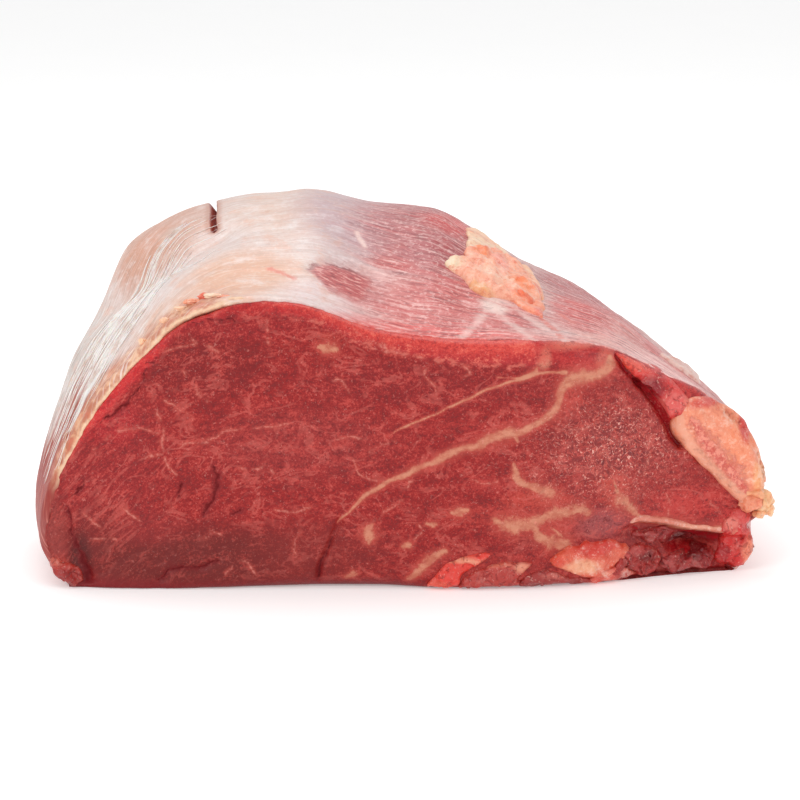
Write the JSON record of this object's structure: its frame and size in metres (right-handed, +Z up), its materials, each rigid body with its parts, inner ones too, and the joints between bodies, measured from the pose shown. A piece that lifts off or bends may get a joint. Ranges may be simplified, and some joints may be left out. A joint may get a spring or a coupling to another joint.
{
  "type": "raw beef joint",
  "caption": "Block of raw beef, cut across at both ends, with silverskin and fat over its top and flanks and a fat end at its right.",
  "frame": {"origin": "middle of the bottom of the block's box, on the surface it lies on", "axes": "+X to the right along the shown cut, +Y from the shown cut to the back cut, +Z up"},
  "size_m": [0.221, 0.1424, 0.1015],
  "materials": {
    "beef": "wet raw meat, muscle red with cream fat and pale silverskin"
  },
  "bodies": {
    "root": {"beef_joint": "beef"}
  },
  "joints": []
}
